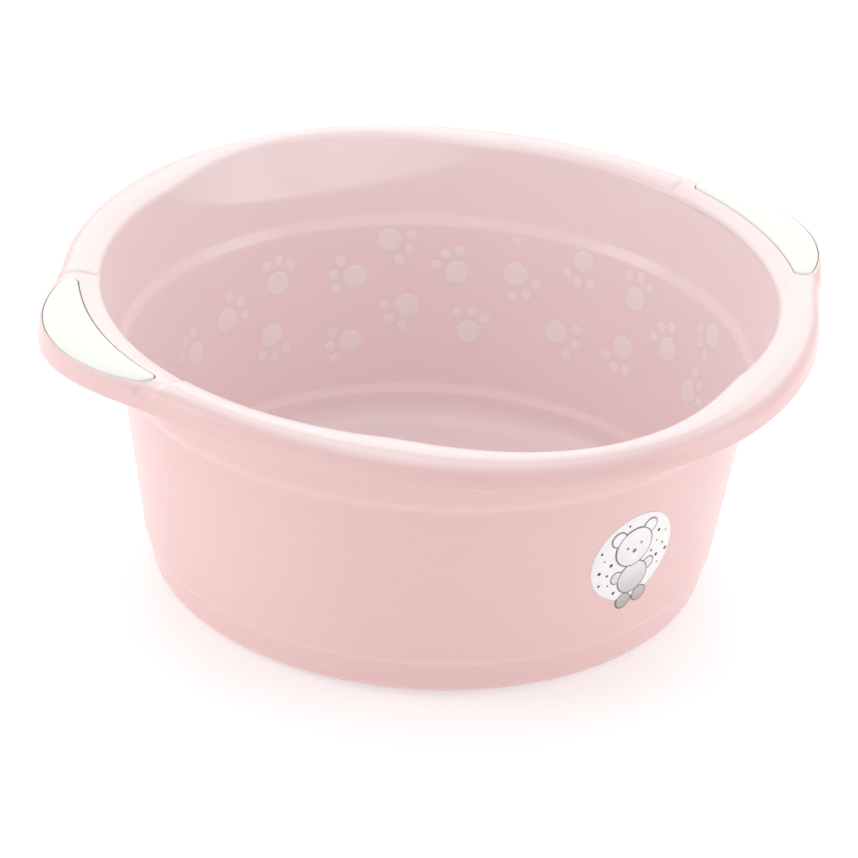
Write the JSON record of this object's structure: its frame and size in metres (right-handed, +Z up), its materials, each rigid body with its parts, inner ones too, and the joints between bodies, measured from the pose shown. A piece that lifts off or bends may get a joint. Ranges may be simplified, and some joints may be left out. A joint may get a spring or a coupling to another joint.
{
  "type": "baby bathtub",
  "caption": "Round moulded baby bathtub with a rolled rim, a dip at each side, and two handle ears with soft grips.",
  "frame": {"origin": "centre of the foot ring's underside, on the surface that the tub stands on", "axes": "+Z up, the handle ears lie along +X and -X, the dips in the rim along +Y and -Y, the label faces -Y"},
  "size_m": [0.4296, 0.416, 0.1665],
  "materials": {
    "tub_plastic": "gloss, pale pink",
    "grip_rubber": "satin, off-white",
    "label_white": "smooth white film",
    "label_ink": "matt dark ink",
    "label_grey": "matt grey ink",
    "paw_film": "matt, paler than the tub"
  },
  "bodies": {
    "root": {"tub": "tub_plastic", "grip_left": "grip_rubber", "grip_right": "grip_rubber", "label_film": "label_white", "label_dots": "label_ink", "label_bear": "label_grey", "paw_prints": "paw_film"}
  },
  "joints": []
}
